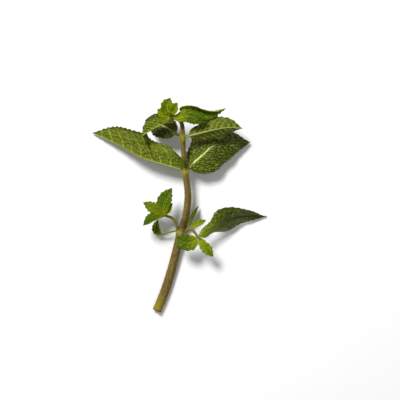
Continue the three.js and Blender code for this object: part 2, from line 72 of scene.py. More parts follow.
# Leaves, close to the CAD model's, whose bases stop short of the stem.
# midrib: points from the stalk's joint to the tip. face: the way the upper side looks at the base
# and at the tip. fold: degrees that the left and right halves rise towards the upper side, at the
# base and at the tip. curl: further degrees gained across each half. ripple: size, waves, phase.
# opens: the share past the stalk over which the halves open out. crease: where a bend across the
# left half starts at the midrib and at the margin, its degrees, the narrowing behind it and the
# swelling past it. inward: how far the base moves to the stem's axis. gather: how far it is drawn
# in. pairs: large veins. relief, toothed: strength of the quilting and of the margin's teeth.
# tone_and_shade: brightness, partly the leaf's own tone and partly painted light and shade: low for leaves that
# lie in shade, high where a leaf's shade is lifted. fresh, base: shift and strength of the fresh green at the
# base.
# rib, rib_end: strength and reach of the pale midrib.
LEAVES = {
    "second_left_leaf": {
        "age": "mature", "half_width": 12.8, "widest": 0.5, "stalk": 0.01,
        "midrib": [(12.9, 77, 10.7), (3, 80.4, 12.6), (-8, 83.8, 12), (-21, 91, 7.6),
                   (-35.5, 97.7, 1.6)],
        "face": [(0.3, 0.8, -0.5), (0.3, 0.75, -0.4)],
        "fold": [(45, 78), (38, 38)], "curl": (-12, 55), "ripple": (1.3, 2.2, 0.4), "tone_and_shade": 0.84,
        "pairs": 9, "crease": (0.27, 0.475, 62, 0.08, 0.2), "inward": 0.5, "blunt": 0.3,
        "opens": 0.02,
    },
    "second_right_leaf": {
        "age": "mature", "half_width": 12, "widest": 0.4, "stalk": 0.05,
        "midrib": [(18.1, 76.9, 9.5), (19.6, 80.2, 10.1), (25.2, 85.3, 10), (30.8, 90, 9.2),
                   (40.2, 92, 6.8), (51.2, 92.3, 2.6)],
        "face": [(0, 0.28, 0.95), (0.3, 0.1, 0.95)],
        "fold": [(-24, -4), (-15, -8)], "curl": (-12, -26), "ripple": (0.7, 2.6, 1.2), "tone_and_shade": 0.95,
        "pairs": 8, "rib": 1.0, "rib_end": 0.45, "inward": 0.6,
    },
    "third_right_leaf": {
        "age": "mature", "half_width": 7.7, "widest": 0.5, "stalk": 0.06,
        "midrib": [(16.4, 95.1, 14.9), (21.7, 96.2, 16.8), (32.2, 98.6, 18.4), (39, 99.7, 17.4),
                   (46.5, 99.4, 14)],
        "face": [(0, 0.2, -0.98), (0.2, 0.2, -0.95)],
        "fold": [(34, 30), (30, 30)], "curl": (10, 6), "ripple": (0.5, 2.4, 0.3), "tone_and_shade": 0.7,
        "pairs": 9,
    },
    # painted shade: this leaf's low brightness darkens it where it lies in shade under the leaves above
    "third_left_leaf": {
        "age": "mature", "half_width": 7.2, "widest": 0.45, "stalk": 0.06,
        "midrib": [(11.6, 96, 13.6), (4.4, 100.6, 12.2), (-1, 103.2, 9), (-6.5, 104.4, 4)],
        "face": [(0.1, -0.1, 0.98), (0.3, 0, 0.9)],
        "fold": [(-12, -10), (-10, -10)], "curl": (-10, -10), "ripple": (0.5, 2.2, 0.9), "tone_and_shade": 0.55,
        "rib": 0.8,
    },
    "fourth_left_leaf": {
        "age": "middle", "half_width": 5.7, "widest": 0.5, "stalk": 0.2,
        "midrib": [(8.9, 102.7, 18.2), (5.2, 102.2, 20), (-1.1, 99, 20.4), (-7.4, 95.3, 18.6)],
        "face": [(-0.43, 0.74, -0.4), (-0.43, 0.74, -0.45)],
        "fold": [(45, 40), (40, 35)], "curl": (-8, 10), "ripple": (0.3, 2, 0.5), "tone_and_shade": 0.9,
    },
    # painted light: this leaf's high brightness lightens the shaded inside of its fold
    "fourth_right_leaf": {
        "age": "middle", "half_width": 5, "widest": 0.38, "stalk": 0.1,
        "midrib": [(12.4, 105.5, 17.9), (14.6, 108.5, 18.8), (19, 109.6, 19.2), (27, 108, 17.6),
                   (37.8, 110, 14.6)],
        "face": [(0.1, -0.1, 0.97), (0, -0.5, 0.85)],
        "fold": [(12, 4), (62, 40)], "curl": (55, -10), "ripple": (0.3, 2, 1.5), "tone_and_shade": 1.25,
    },
    "fifth_right_leaf": {
        "age": "middle", "half_width": 3.9, "widest": 0.55, "stalk": 0.06,
        "midrib": [(9.1, 104, 21.2), (12.2, 104.7, 22.6), (16.5, 105.6, 23.4), (22, 104.4, 22.6),
                   (27, 102.2, 20.6)],
        "face": [(0, -0.1, 0.99), (0.2, -0.1, 0.95)],
        "fold": [(-4, 0), (-6, -10)], "curl": (-10, -14), "ripple": (0.3, 2.4, 0.2), "tone_and_shade": 0.88,
        "blunt": 0.3, "inward": 0.5, "fresh": 0.1, "base": 1.0,
    },
    "fifth_left_leaf": {
        "age": "young", "half_width": 2.5, "widest": 0.5, "stalk": 0.04,
        "midrib": [(6.8, 104, 20.4), (4.6, 103.6, 21.6), (1.8, 102.8, 22.4)],
        "face": [(0.1, 0.3, 0.9), (0, 0.2, 0.9)],
        "fold": [(22, 22), (16, 16)], "curl": (0, 0), "ripple": (0.15, 2, 0.2), "tone_and_shade": 0.9,
        "inward": 0.6,
    },
    "tip_rear_leaf": {
        "age": "young", "half_width": 3.7, "widest": 0.48, "stalk": 0.03,
        "midrib": [(7.1, 107.8, 21.2), (6.2, 109.6, 23), (6.2, 111.6, 24.2), (8.1, 115, 25)],
        "face": [(0.1, -0.55, 0.8), (0, -0.3, 0.9)],
        "fold": [(18, 18), (12, 12)], "curl": (8, 4), "ripple": (0.25, 2.3, 1), "inward": 0.6,
        "blunt": 0.36, "rib": 0.9,
    },
    "tip_right_leaf": {
        "age": "young", "half_width": 3.1, "widest": 0.5, "stalk": 0.03,
        "midrib": [(8.9, 107.3, 21.4), (9.9, 109.1, 23.4), (11.7, 112.4, 25.6)],
        "face": [(-0.6, -0.35, 0.7), (-0.45, -0.3, 0.85)],
        "fold": [(16, 30), (12, 24)], "curl": (0, 0), "ripple": (0.2, 2, 0.1), "inward": 0.6,
        "blunt": 0.36, "rib": 0.5,
    },
    "tip_left_leaf": {
        "age": "young", "half_width": 2.7, "widest": 0.45, "stalk": 0.03,
        "midrib": [(5.7, 106.4, 21.1), (3.8, 107, 21.6), (0.8, 109.2, 21.6)],
        "face": [(0.3, -0.2, 0.9), (0.1, -0.2, 0.95)],
        "fold": [(20, 20), (12, 12)], "curl": (0, 0), "ripple": (0.2, 2, 0.6), "inward": 0.6,
        "blunt": 0.36, "rib": 0.6,
    },
    "tip_front_leaflet": {
        "age": "young", "half_width": 1.1, "widest": 0.5, "stalk": 0.1,
        "midrib": [(7.6, 105.4, 21.6), (7.4, 105.5, 23), (7.1, 106, 24.2)],
        "face": [(0, 0.95, 0.3), (0, 0.95, 0.3)],
        "fold": [(30, 30), (20, 20)], "curl": (0, 0), "ripple": (0, 1, 0), "tone_and_shade": 0.6,
    },
    "tip_back_leaflet": {
        "age": "young", "half_width": 1.1, "widest": 0.5, "stalk": 0.1,
        "midrib": [(7.9, 106.9, 21.7), (7.8, 107, 23.1), (7.7, 106.8, 24.4)],
        "face": [(0, -0.95, 0.3), (0, -0.95, 0.3)],
        "fold": [(30, 30), (20, 20)], "curl": (0, 0), "ripple": (0, 1, 0), "tone_and_shade": 0.6,
    },
    "second_node_bud": {
        "age": "young", "half_width": 0.7, "widest": 0.5, "stalk": 0.1,
        "midrib": [(15.3, 78.6, 13.6), (14.7, 80.6, 14.8), (14.4, 82.8, 15.2)],
        "face": [(0, -0.5, 0.85), (0, -0.2, 0.95)],
        "fold": [(35, 35), (25, 25)], "curl": (0, 0), "ripple": (0, 1, 0), "tone_and_shade": 0.55,
    },
    "third_node_bud": {
        "age": "young", "half_width": 1, "widest": 0.5, "stalk": 0.1,
        "midrib": [(14.7, 95.2, 17.2), (14.5, 93.4, 17.4), (14.4, 91.4, 16.6)],
        "face": [(0, 0.1, 0.95), (0, 0.1, 0.95)],
        "fold": [(-20, -20), (-15, -15)], "curl": (0, 0), "ripple": (0, 1, 0), "tone_and_shade": 0.8,
        "fresh": 0.6,
    },
    # painted light: this leaf's high brightness lightens it where it lies in the shade of the left shoot's
    # leaves
    "first_left_leaf": {
        "age": "middle", "half_width": 2.7, "widest": 0.45, "stalk": 0.46,
        "midrib": [(10.3, 43.9, 5), (6.4, 43, 5.6), (2.6, 42, 4.8), (0.2, 44.4, 3.6), (0.6, 50.2, 2.2)],
        "face": [(0.1, 0, 0.98), (-0.5, 0, 0.85)],
        "fold": [(30, 30), (30, 30)], "curl": (0, 10), "ripple": (0.2, 2, 0.3), "tone_and_shade": 1.3,
        "base": 0.4,
    },
    "first_right_leaf": {
        "age": "middle", "half_width": 2, "widest": 0.5, "stalk": 0.12,
        "midrib": [(16.9, 46.3, 5.2), (19, 49.6, 5.6), (21.2, 53.2, 4.8), (22.8, 57.6, 2.6)],
        "face": [(-0.6, 0.4, 0.6), (-0.6, 0.4, 0.6)],
        "fold": [(40, 40), (35, 35)], "curl": (0, 0), "ripple": (0.2, 2, 0.2), "tone_and_shade": 0.7,
    },
    "left_shoot_upper_leaf": {
        "age": "middle", "half_width": 4, "widest": 0.45, "stalk": 0.02,
        "midrib": [(3.9, 53.7, 11.6), (3.7, 57, 13.3), (5.2, 62, 14.4), (8.6, 67.4, 14)],
        "face": [(-0.1, -0.4, 0.9), (0, -0.1, 0.98)],
        "fold": [(8, 14), (6, 10)], "curl": (-8, 0), "ripple": (0.25, 2.2, 0.7), "inward": 0.55,
    },
    "left_shoot_far_leaf": {
        "age": "young", "half_width": 3, "widest": 0.48, "stalk": 0.02,
        "midrib": [(2.6, 53.2, 11.6), (0.4, 55, 12.2), (-3.2, 57.4, 12.1), (-7.2, 59.5, 11.2)],
        "face": [(0.2, -0.2, 0.95), (0, -0.1, 0.98)],
        "fold": [(12, 12), (4, 4)], "curl": (-6, -6), "ripple": (0.25, 2.3, 0.1), "tone_and_shade": 0.75,
        "inward": 0.55,
    },
    "left_shoot_lower_leaf": {
        "age": "middle", "half_width": 4.3, "widest": 0.5, "stalk": 0.02,
        "midrib": [(3.0, 51.5, 11.3), (-1.7, 49.6, 11.8), (-7.2, 47, 10.6)],
        "face": [(-0.29, 0.63, 0.7), (-0.29, 0.5, 0.8)],
        "fold": [(45, 42), (40, 36)], "curl": (0, 0), "ripple": (0.25, 2, 0.5), "tone_and_shade": 0.95,
        "inward": 0.55,
    },
    "left_shoot_near_leaf": {
        "age": "young", "half_width": 1.8, "widest": 0.5, "stalk": 0.02,
        "midrib": [(5.1, 53.2, 11.9), (7.1, 54.9, 12.4), (8.8, 59.4, 12)],
        "face": [(-0.6, 0, 0.8), (-0.7, 0.1, 0.7)],
        "fold": [(30, 30), (24, 24)], "curl": (0, 0), "ripple": (0.15, 2, 0.5), "inward": 0.55,
    },
    "left_shoot_bud": {
        "age": "young", "half_width": 0.8, "widest": 0.5, "stalk": 0.1,
        "midrib": [(3.3, 52.2, 12.4), (3.1, 52.4, 13.6), (3.2, 53, 14.8)],
        "face": [(0, 0.9, 0.3), (0, 0.9, 0.3)],
        "fold": [(30, 30), (20, 20)], "curl": (0, 0), "ripple": (0, 1, 0),
    },
    "right_shoot_left_leaf": {
        "age": "middle", "half_width": 4.5, "widest": 0.42, "stalk": 0.02,
        "midrib": [(21.2, 39.2, 11.9), (18.4, 38, 13.2), (14.6, 38.4, 13.8), (10.8, 41.2, 13)],
        "face": [(0.2, 0, 0.98), (-0.1, -0.1, 0.98)],
        "fold": [(10, 10), (2, 2)], "curl": (-10, -10), "ripple": (0.3, 2.3, 0.4), "fresh": 0.1,
        "inward": 0.55,
    },
    "right_shoot_long_leaf": {
        "age": "mature", "half_width": 7.7, "widest": 0.33, "stalk": 0.02,
        "midrib": [(23.7, 41.5, 11.5), (30.8, 45.3, 11.2), (40.2, 50.6, 8.2), (51, 52.3, 4),
                   (60.4, 51.7, 0.8)],
        "face": [(0.1, 0.25, 0.95), (0.2, 0.25, 0.95)],
        "fold": [(0, -62), (92, -30)], "curl": (-6, -14), "ripple": (0.6, 2.4, 0.8), "tone_and_shade": 0.85,
        "blunt": 0.7, "gather": 0.45, "inward": 0.4, "relief": 0.4, "base": 1.0, "rib_end": 0.45,
        "rib": 0.12, "toothed": 0.45,
    },
    "right_shoot_lower_leaf": {
        "age": "young", "half_width": 2.8, "widest": 0.5, "stalk": 0.02,
        "midrib": [(23.4, 39.5, 11.9), (25.6, 36.6, 12.9), (28, 33.6, 12.8), (30.8, 30, 11.4)],
        "face": [(-0.3, 0.2, 0.95), (-0.1, 0.1, 0.97)],
        "fold": [(22, 22), (14, 14)], "curl": (0, -6), "ripple": (0.2, 2.3, 0.4), "inward": 0.55,
    },
    "right_shoot_small_leaf": {
        "age": "young", "half_width": 1.9, "widest": 0.5, "stalk": 0.02,
        "midrib": [(18.7, 46.1, 8.6), (22, 47.8, 8.8), (27, 49.8, 7.8)],
        "face": [(-0.1, 0.3, 0.9), (0.1, 0.3, 0.9)],
        "fold": [(14, 14), (10, 10)], "curl": (0, 0), "ripple": (0.2, 2.6, 0.4), "inward": 0.55,
        "base": 0.3,
    },
    "right_shoot_bud": {
        "age": "young", "half_width": 0.8, "widest": 0.5, "stalk": 0.1,
        "midrib": [(22.8, 40.3, 12.6), (22.9, 40.5, 13.8), (22.7, 40.9, 15)],
        "face": [(0, 0.9, 0.3), (0, 0.9, 0.3)],
        "fold": [(30, 30), (20, 20)], "curl": (0, 0), "ripple": (0, 1, 0),
    },
}

# The CAD model's stem: how it is built there, so that the frame's origin can be found from it.
SQUARENESS = 3.2
NODE_SWELLING = 0.45
NODE_LENGTH = 2.2
STEM_TAPER = 1.6
CAD_STEM_SIDES = 12
CAD_STEM_STEP = 3.2

TABLE_CONTACT = 0.35
TABLE_SOFTNESS = 0.7
STALK_HALF_WIDTH = 0.8
STALK_HALF_THICKNESS = 0.55
FULL_SIZE_LEAF = 8
THINNEST = 0.35  # share of a full-size leaf's thickness left in a leaf of no width
BIG_LEAF = 5  # half width that separates the finer grid of the small leaves
OPENING = 0.12
HALVES_APART = 2.1  # radians between the ripples of a leaf's two halves
GATHERED = (0.16, 0.36)
CREASE_SHARPNESS = 0.008
CREASE_OPENING = (0.06, 0.26)
CREASE_RIDGE = 1.9
CREASE_RIDGE_LENGTH = 0.13
CREASE_STEP = 0.9

BLUNTNESS = 0.42
TIP_BLUNTNESS = 1.05
BLADE_HALF_THICKNESS = 0.15
ROWS_PER_MM = 4.4
COLUMNS_PER_MM = 4.6
SMALL_LEAF_FINER = 1.6
LEAF_LOWEST = 0.05  # height and softness of a leaf's contact with the table
STEM_LOWEST = (0.03, 0.04)
CELL_MM = 2.0
CELL_MARGIN = 0.06
VEIN_WIDTH_MM = 0.48
RIB_WIDTH_MM = 0.46
TOOTH_SPACING_MM = 2.7
TOOTH_DEPTH_MM = 0.75
TOOTH_CLIMB = 0.74  # share of a tooth before its point
# strength of the fresh green at a leaf's base, by age
BASE_SHARE = {"mature": 0.25, "middle": 0.85, "young": 0.85}
# how far a blade bulges between its large veins and between its small ones, by age, in millimetres
BULGE = {"mature": (0.34, 0.74), "middle": (0.26, 0.5), "young": (0.16, 0.3)}


def unit(vectors):
    length = np.linalg.norm(vectors, axis=-1, keepdims=True)
    return vectors / np.maximum(length, 1e-9)


def smoothstep(x, low, high):
    t = np.clip((x - low) / (high - low), 0, 1)
    return t * t * (3 - 2 * t)


class Curve:
    """A centripetal Catmull-Rom curve through points, read by its share of arc length."""

    def __init__(self, points, per_span=200):
        p = np.array(points, float)
        p = np.vstack([2 * p[0] - p[1], p, 2 * p[-1] - p[-2]])
        t = np.linspace(0, 1, per_span, endpoint=False)[:, None]
        samples = []
        for a, b, c, d in zip(p, p[1:], p[2:], p[3:]):
            ab, bc, cd = (np.linalg.norm(v) ** 0.5 for v in (b - a, c - b, d - c))
            leave = ((b - a) / ab - (c - a) / (ab + bc) + (c - b) / bc) * bc
            arrive = ((c - b) / bc - (d - b) / (bc + cd) + (d - c) / cd) * bc
            samples.append(b + leave * t + (3 * (c - b) - 2 * leave - arrive) * t**2
                           + (2 * (b - c) + leave + arrive) * t**3)
        self.points = np.vstack(samples + [p[-2:-1]])
        steps = np.linalg.norm(np.diff(self.points, axis=0), axis=1)
        self.length = steps.sum()
        self.share = np.concatenate([[0], np.cumsum(steps)]) / self.length
        self.tangents = unit(np.gradient(self.points, axis=0))

    def at(self, share):
        return np.stack([np.interp(share, self.share, self.points[:, k]) for k in range(3)], -1)

    def tangent(self, share):
        return unit(np.stack([np.interp(share, self.share, self.tangents[:, k]) for k in range(3)], -1))


def square_to(tangent, wanted):
    return unit(wanted - tangent * (wanted * tangent).sum(-1, keepdims=True))


def stem_radius(stem, share, centres):
    taper = stem["radius"][0] + (stem["radius"][1] - stem["radius"][0]) * share**STEM_TAPER
    for node in stem["nodes"]:
        away = np.linalg.norm(centres - np.array(node), axis=-1)
        taper = taper + NODE_SWELLING * np.exp(-((away / NODE_LENGTH) ** 2))
    return taper


def stem_frame(curve, share):
    centres = curve.at(share)
    tangents = curve.tangent(share)
    up = square_to(tangents, np.array([0.0, 0.0, 1.0]) * np.ones_like(tangents))
    return centres, tangents, up, np.cross(up, tangents)


def squircle(angle, power):
    return (np.abs(np.cos(angle)) ** power + np.abs(np.sin(angle)) ** power) ** (-1 / power)


def cad_stem_low_corner():
    """Lowest corner of the CAD main stem in the design frame."""
    stem = STEMS["main_stem"]
    curve = Curve(stem["axis"])
    share = np.linspace(0, 1, math.ceil(curve.length / CAD_STEM_STEP) + 3)
    centres, _, up, left = stem_frame(curve, share)
    radius = stem_radius(stem, share, centres)
    angle = 2 * np.pi * np.arange(CAD_STEM_SIDES) / CAD_STEM_SIDES
    size = (radius[:, None] * squircle(angle, SQUARENESS))[..., None]
    circle = np.cos(angle)[:, None] * left[:, None] + np.sin(angle)[:, None] * up[:, None]
    rings = centres[:, None] + size * circle
    return rings.reshape(-1, 3).min(0)


# Added to a design-frame point, this puts it in the row's frame (still in millimetres).
SHIFT = np.array(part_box("main_stem")[0]) / MM - cad_stem_low_corner()


def make_piece(name, vertices, faces, attributes, material, replaces):
    """A mesh object from design-frame vertices, with the attributes that its material reads."""
    mesh = bpy.data.meshes.new(name)
    mesh.from_pydata(((vertices + SHIFT) * MM).tolist(), [], faces)
    mesh.polygons.foreach_set("use_smooth", [True] * len(mesh.polygons))
    for label, values in attributes.items():
        attribute = mesh.attributes.new(label, "FLOAT_VECTOR", "POINT")
        attribute.data.foreach_set("vector", np.ascontiguousarray(values, np.float32).ravel())
    mesh.materials.append(material)
    mesh.update()
    piece = bpy.data.objects.new(name, mesh)
    bpy.context.scene.collection.objects.link(piece)
    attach(piece, "root")
    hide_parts(replaces)
    return piece


def loft_faces(rings, around):
    """Faces of a surface through rings, with one point before the first ring and one after the last."""
    last = 1 + rings * around
    side = np.arange(around)
    following = (side + 1) % around
    row = 1 + around * np.arange(rings - 1)[:, None]
    quads = np.stack([row + side, row + following, row + around + following, row + around + side], -1)
    start = np.stack([np.zeros(around, int), 1 + following, 1 + side], -1)
    top = 1 + (rings - 1) * around
    end = np.stack([np.full(around, last), top + side, top + following], -1)
    return quads.reshape(-1, 4).tolist() + start.tolist() + end.tolist()


# ---------------------------------------------------------------- leaves


def thinning(leaf):
    return min(1, THINNEST + (1 - THINNEST) * leaf["half_width"] / FULL_SIZE_LEAF)


def at_least(least, size):
    """Scales with a leaf's size, down to a least share."""
    return least + (1 - least) * size


def leaf_half_width(leaf, share):
    stalk = STALK_HALF_WIDTH * thinning(leaf)
    along = np.clip((share - leaf["stalk"]) / (1 - leaf["stalk"]), 0, 1)
    phase = along ** (math.log(0.5) / math.log(leaf["widest"]))
    blunt = leaf.get("blunt", BLUNTNESS)
    bluntness = blunt + (TIP_BLUNTNESS - blunt) * along
    gather = 1 - leaf.get("gather", 0) * (1 - smoothstep(along, *GATHERED))
    blade = leaf["half_width"] * gather * np.sin(np.pi * np.minimum(phase, 1)).clip(0) ** bluntness
    return np.maximum(blade, stalk * (1 - along))


def rest_on_table(points, contact, softness):
    above = (points[..., 2] - contact) / softness
    points[..., 2] = contact + softness * np.logaddexp(0, above)
    return points


def blade_surface(leaf, curve, share, across, teeth):
    """The blade's middle surface: share (rows, 1) of the midrib, across (1, columns) from 1, the left
    margin, to -1, the right. teeth (rows, columns) is how far the margin stands out, in millimetres."""
    share = share * np.ones_like(across)
    across = across * np.ones_like(share)
    tangent = curve.tangent(share)
    mix = share[..., None]
    wanted = np.array(leaf["face"][0]) * (1 - mix) + np.array(leaf["face"][1]) * mix
    face = square_to(tangent, wanted)
    right = across < 0
    outward = np.cross(face, tangent) * np.where(right, -1, 1)[..., None]
    width = np.maximum(leaf_half_width(leaf, share), 1e-4)
    opened = smoothstep(share, 0, leaf["stalk"] + leaf.get("opens", OPENING))
    base = np.where(right, leaf["fold"][0][1], leaf["fold"][0][0])
    tip = np.where(right, leaf["fold"][1][1], leaf["fold"][1][0])
    start = np.radians((base * (1 - share) + tip * share) * opened)
    turn = np.radians(np.where(right, leaf["curl"][1], leaf["curl"][0]) * opened)
    if "crease" in leaf:
        at_rib, at_margin, angle, narrowing, swelling = leaf["crease"]
        line = at_rib + (at_margin - at_rib) * np.abs(across)
        past = smoothstep(share, line - CREASE_SHARPNESS, line + CREASE_SHARPNESS)
        behind = (1 - past) * smoothstep(share, *CREASE_OPENING) * ~right
        raised = past * np.exp(-np.clip(share - line, 0, 1) / CREASE_RIDGE_LENGTH) * ~right
        turn = turn + np.radians(angle * behind)
        width = width * (1 - narrowing * behind + swelling * raised)
    turn = np.where(np.abs(turn) < 1e-4, 1e-4, turn)
    out = np.abs(across) + teeth / width
    end = start + turn * out
    reach = (np.sin(end) - np.sin(start)) * width / turn
    rise = (np.cos(start) - np.cos(end)) * width / turn
    size, waves, phase = leaf["ripple"]
    wave = np.sin(2 * np.pi * (waves * share + phase) + right * HALVES_APART)
    ripple = size * across**2 * wave * opened * (1 - share**4)
    points = curve.at(share)
    points = points + outward * (reach - ripple * np.sin(end))[..., None]
    points = points + face * (rise + ripple * np.cos(end))[..., None]
    if "crease" in leaf:
        back = (CREASE_RIDGE * raised - CREASE_STEP * behind) * np.abs(across) ** 1.2
        points = points - face * back[..., None]
    return rest_on_table(points, TABLE_CONTACT, TABLE_SOFTNESS), face


def scatter(u, v, seed):
    """A repeatable number from 0 to 1 for each cell (u, v)."""
    value = np.sin(u * 127.1 + v * 311.7 + seed * 74.7) * 43758.5453
    return value - np.floor(value)


def cell_gap(u, v, u_mm, v_mm, seed):
    """Distance in millimetres from the borders of irregular cells, one in each unit square of (u, v)."""
    cell_u, cell_v = np.floor(u), np.floor(v)
    inner = 1 - 2 * CELL_MARGIN
    found = []
    for du in (-1, 0, 1):
        for dv in (-1, 0, 1):
            cu, cv = cell_u + du, cell_v + dv
            away_u = (u - cu - CELL_MARGIN - inner * scatter(cu, cv, seed)) * u_mm
            away_v = (v - cv - CELL_MARGIN - inner * scatter(cu, cv, seed + 9)) * v_mm
            found.append(np.hypot(away_u, away_v))
    found = np.sort(np.array(found), axis=0)
    return found[1] - found[0]


def leaf_detail(leaf, curve, share, across, seed):
    """The fields that shape and colour a blade: veins, the bulges between them, and its margin's teeth."""
    age, half_width = leaf["age"], leaf["half_width"]
    size = thinning(leaf)
    blade_length = curve.length * (1 - leaf["stalk"])
    along = (share - leaf["stalk"]) / (1 - leaf["stalk"])
    width = leaf_half_width(leaf, share)
    out = np.abs(across) * width
    right = across < 0

    pairs = leaf.get("pairs", 7 if half_width > BIG_LEAF else 5)
    foot = along - (0.8 * out + 0.16 * out**2 / max(half_width, 1)) / blade_length
    wobble = 0.07 * np.sin(8 * out / half_width + 5 * seed + right * 2) + 0.05 * np.sin(21 * foot + seed)
    order = pairs * foot * (1.18 - 0.18 * foot) + 0.38 * right + wobble
    spacing = blade_length / pairs * 0.78
    from_vein = np.abs(order - np.round(order)) * spacing
    secondary_width = (VEIN_WIDTH_MM - 0.5 * VEIN_WIDTH_MM * np.abs(across)) * at_least(0.4, size)
    secondary = np.exp(-((from_vein / secondary_width) ** 2)) * smoothstep(foot, -0.02, 0.03)
    secondary = secondary * (1 - smoothstep(np.abs(across), 0.82, 1.0))

    cell = CELL_MM * at_least(0.4, size)
    lanes = max(2, round(1.25 * spacing / cell))
    gap = cell_gap(order * lanes, out / cell + 50 * right, spacing / lanes, cell, seed)
    net = np.exp(-((gap / (0.72 * at_least(0.45, size))) ** 2))
    small = 1 - np.exp(-gap / (0.6 * at_least(0.45, size)))
    large = 1 - np.exp(-from_vein / (0.8 * size))

    rib_width = RIB_WIDTH_MM * (1 - 0.62 * np.clip(along, 0, 1)) * at_least(0.35, size)
    midrib = np.exp(-((out / rib_width) ** 2))
    on_blade = smoothstep(along, 0.0, 0.06)

    calm = 1 - np.exp(-((out / (0.9 * size)) ** 2))
    calm = calm * (1 - 0.85 * smoothstep(np.abs(across), 0.85, 1.0))
    calm = calm * on_blade * (0.5 + 0.5 * smoothstep(width, 0.5, 0.6 * half_width))
    bulge_large, bulge_small = (amount * at_least(0.35, size) for amount in BULGE[age])
    sway = np.sin(out / 1.2 + 2.3 * seed) * np.sin(along * blade_length / 3.6 + 1.7 * seed + right)
    quilting = leaf.get("relief", 1) * (bulge_large * large + bulge_small * small)
    rise = (quilting + 0.3 * size * sway) * calm

    teeth_count = max(6, round(blade_length / (TOOTH_SPACING_MM * at_least(0.5, size))))
    phase = along * teeth_count + 0.35 * right + 0.12 * np.sin(7 * along + seed)
    within = phase - np.floor(phase)
    falling = (1 - within) / (1 - TOOTH_CLIMB)
    tooth = np.where(within < TOOTH_CLIMB, within / TOOTH_CLIMB, falling)
    uneven = 0.7 + 0.6 * scatter(np.floor(phase), right * 1.0, seed)
    depth = TOOTH_DEPTH_MM * leaf.get("toothed", 1) * at_least(0.35, size) * uneven
    window = smoothstep(along, 0.06, 0.2) * (1 - smoothstep(along, 0.9, 0.99))
    teeth = depth * (tooth - 0.45) * window * np.abs(across) ** 9

    return {
        "secondary": secondary * on_blade,
        "net": net * on_blade * calm,
        "midrib": midrib,
        "dome": small * (0.55 + 0.45 * large) * calm,
        "rise": rise,
        "along": np.clip(along, 0, 1),
        "teeth": teeth,
        "out": out,
        "size": size,
        "on_blade": on_blade,
    }


def nearest_on_stems(point):
    best = None
    for curve in STEM_CURVES.values():
        away = np.linalg.norm(curve.points - point, axis=1)
        k = int(away.argmin())
        if best is None or away[k] < best[0]:
            best = (away[k], curve.points[k])
    return best[1]


